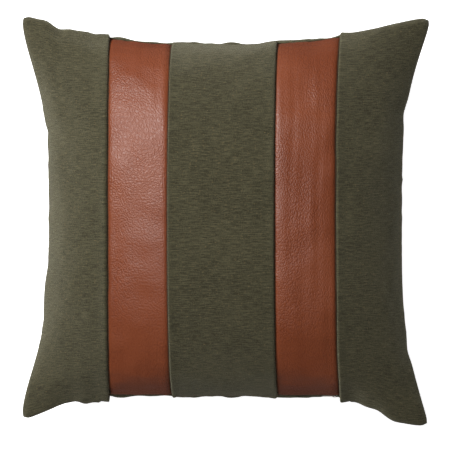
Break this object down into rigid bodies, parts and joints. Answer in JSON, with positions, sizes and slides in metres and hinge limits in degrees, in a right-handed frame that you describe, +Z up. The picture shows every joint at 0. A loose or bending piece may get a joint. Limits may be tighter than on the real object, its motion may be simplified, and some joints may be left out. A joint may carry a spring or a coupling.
{
  "type": "throw pillow",
  "caption": "Square knife-edge throw pillow: a zipped cover with a striped linen and leather front, stuffed with a separate soft insert.",
  "frame": {"origin": "centre of the footprint, on the surface that the pillow lies on", "axes": "+X across the stripes, +Y along them and away from the zip, +Z up, out of the striped front"},
  "size_m": [0.4964, 0.4964, 0.1759],
  "materials": {
    "linen": "olive slubbed linen, plain weave, matte",
    "back_linen": "olive slubbed linen, plain weave, matte",
    "leather": "cognac brown pebbled leather, semi-gloss",
    "seam_thread": "olive polyester sewing thread",
    "zip_tape": "woven polyester tape, dyed olive",
    "zip_coil": "nylon coil, dyed olive",
    "zip_metal": "die-cast zinc, dark nickel plate",
    "label_tape": "woven satin tape, blank",
    "insert_cotton": "white downproof cotton",
    "insert_thread": "white overlock thread",
    "fibre": "white polyester fibre"
  },
  "bodies": {
    "pillow": {"left_linen_panel": "linen", "left_leather_stripe": "leather", "centre_linen_panel": "linen", "right_leather_stripe": "leather", "right_linen_panel": "linen", "back_linen_panel": "back_linen", "stripe_seam_thread_1": "seam_thread", "stripe_seam_thread_2": "seam_thread", "stripe_seam_thread_3": "seam_thread", "stripe_seam_thread_4": "seam_thread", "edge_seam_allowance": "back_linen", "edge_seam_thread": "seam_thread", "front_zip_allowance": "back_linen", "back_zip_allowance": "back_linen", "front_zip_tape": "zip_tape", "back_zip_tape": "zip_tape", "front_zip_coil": "zip_coil", "back_zip_coil": "zip_coil", "front_zip_thread": "seam_thread", "back_zip_thread": "seam_thread", "zip_end_tacks": "seam_thread", "zip_bottom_stop": "zip_metal", "zip_top_stops": "zip_metal", "care_label": "label_tape", "insert_front_cotton": "insert_cotton", "insert_back_cotton": "insert_cotton", "insert_edge_thread": "insert_thread", "insert_label": "label_tape", "fibre_fill": "fibre"},
    "slider": {"zip_slider": "zip_metal"},
    "pull": {"zip_pull_tab": "zip_metal"}
  },
  "joints": [
    {"name": "zip_slide", "type": "slide", "parent": "pillow", "child": "slider", "axis": [-1, 0, 0], "range_m": [0, 0.265], "deforming": ["front_zip_coil", "back_zip_coil"]},
    {"name": "pull_hinge", "type": "hinge", "parent": "slider", "child": "pull", "pos_m": [0.133, -0.21495, 0.084], "axis": [0, 0, 1], "range_deg": [0, 178]}
  ]
}
